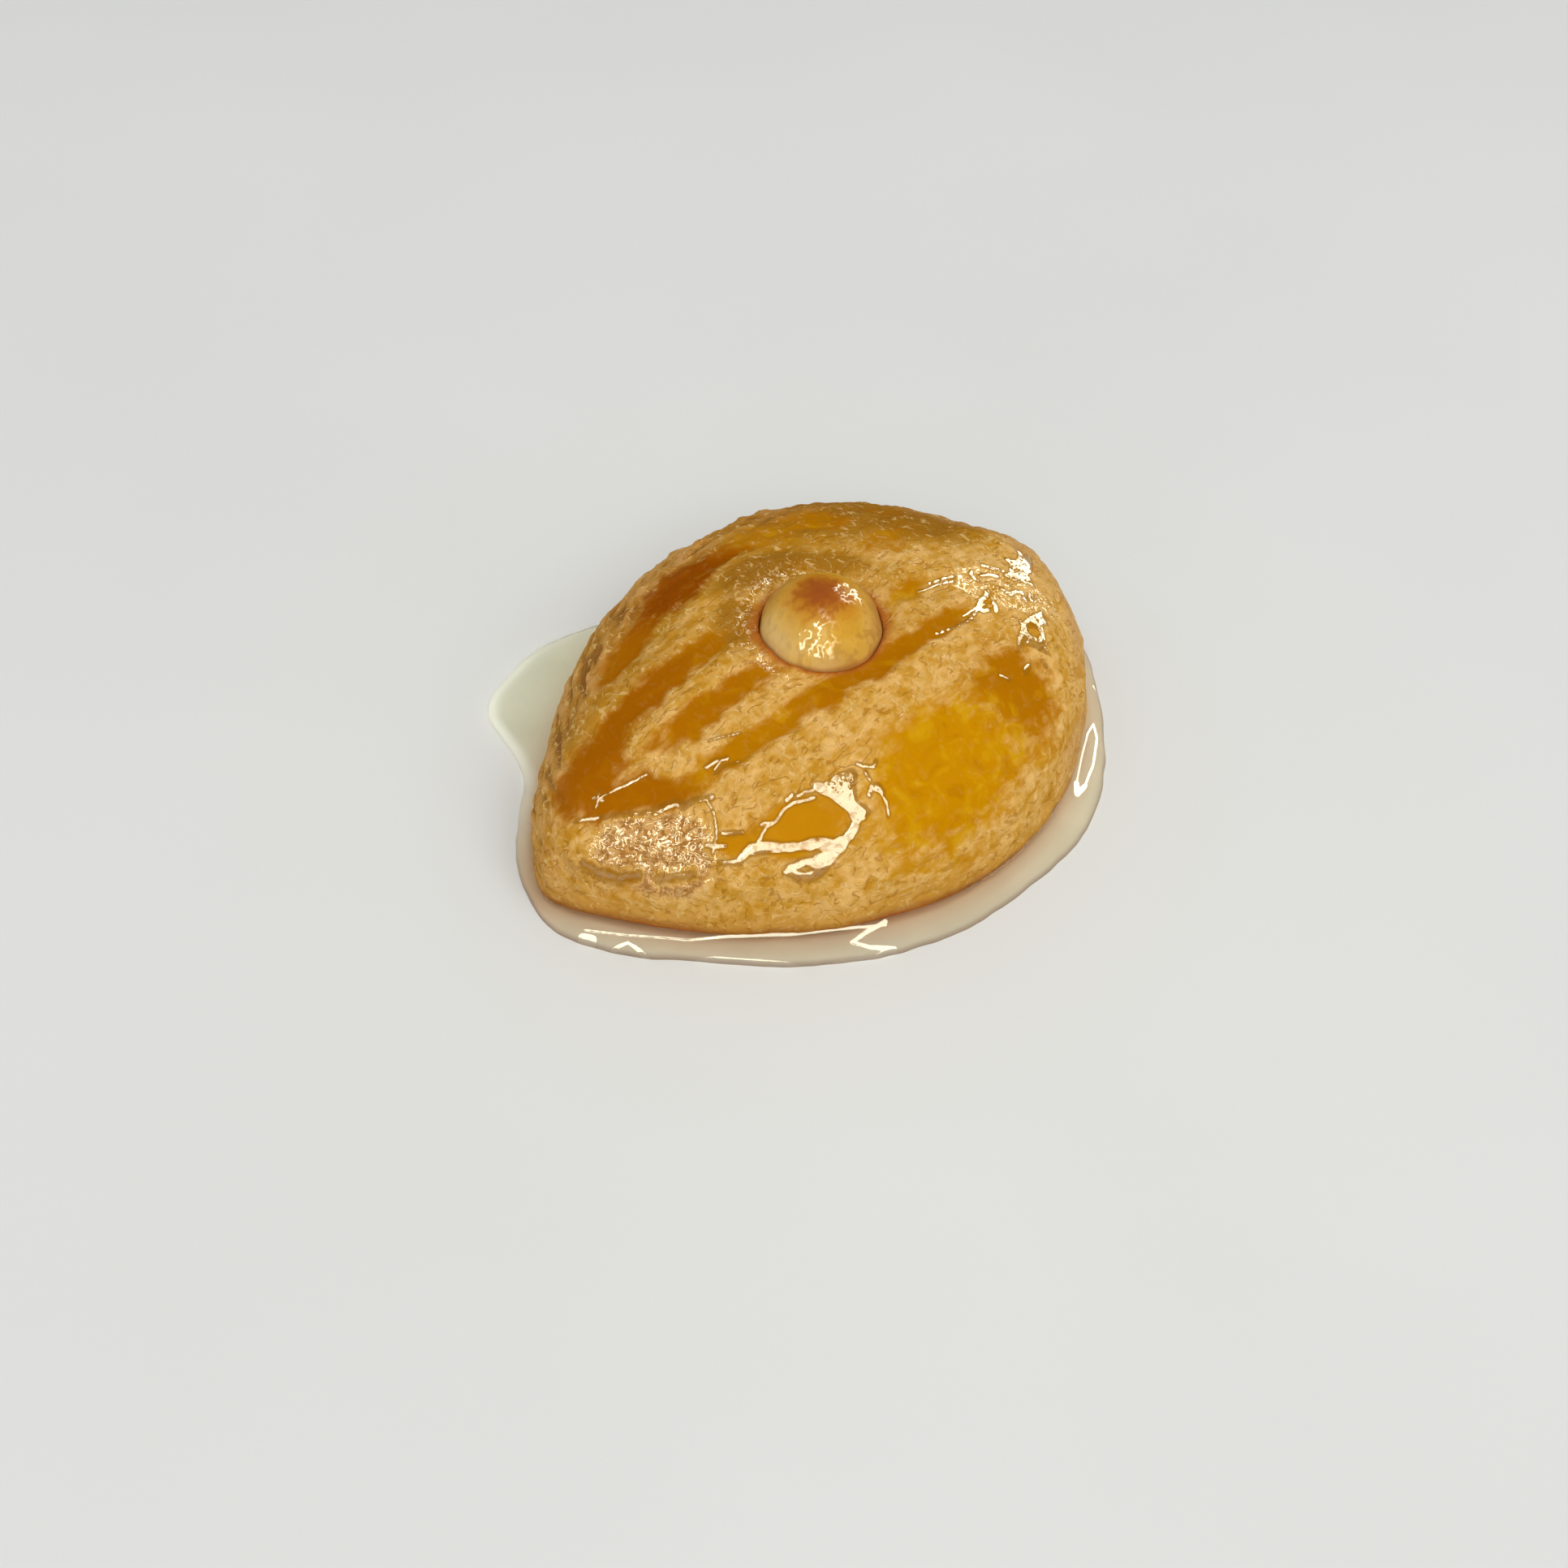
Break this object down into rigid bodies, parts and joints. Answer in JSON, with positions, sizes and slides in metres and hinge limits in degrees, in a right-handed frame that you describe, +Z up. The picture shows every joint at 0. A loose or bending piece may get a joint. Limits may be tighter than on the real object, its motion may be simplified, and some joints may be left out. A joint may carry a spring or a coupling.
{
  "type": "semolina cake",
  "caption": "Lemon-shaped syrup-soaked semolina cake with a domed, band-glazed top, a hazelnut pressed into its crown and a shallow pool of syrup round its foot.",
  "frame": {"origin": "middle of the cake's length, on its flat underside", "axes": "+Z up; +X along the cake's length towards its blunter tip; -Y towards the side with the largest glazed patch"},
  "size_m": [0.0782, 0.0646, 0.0266],
  "materials": {
    "cake": "baked golden-brown semolina crumb with a glossy syrup glaze",
    "hazelnut": "blanched and roasted, reddish brown at the tip, wet with syrup",
    "syrup": "clear pale-yellow sugar syrup"
  },
  "bodies": {
    "root": {"cake": "cake", "hazelnut": "hazelnut", "syrup": "syrup"}
  },
  "joints": []
}
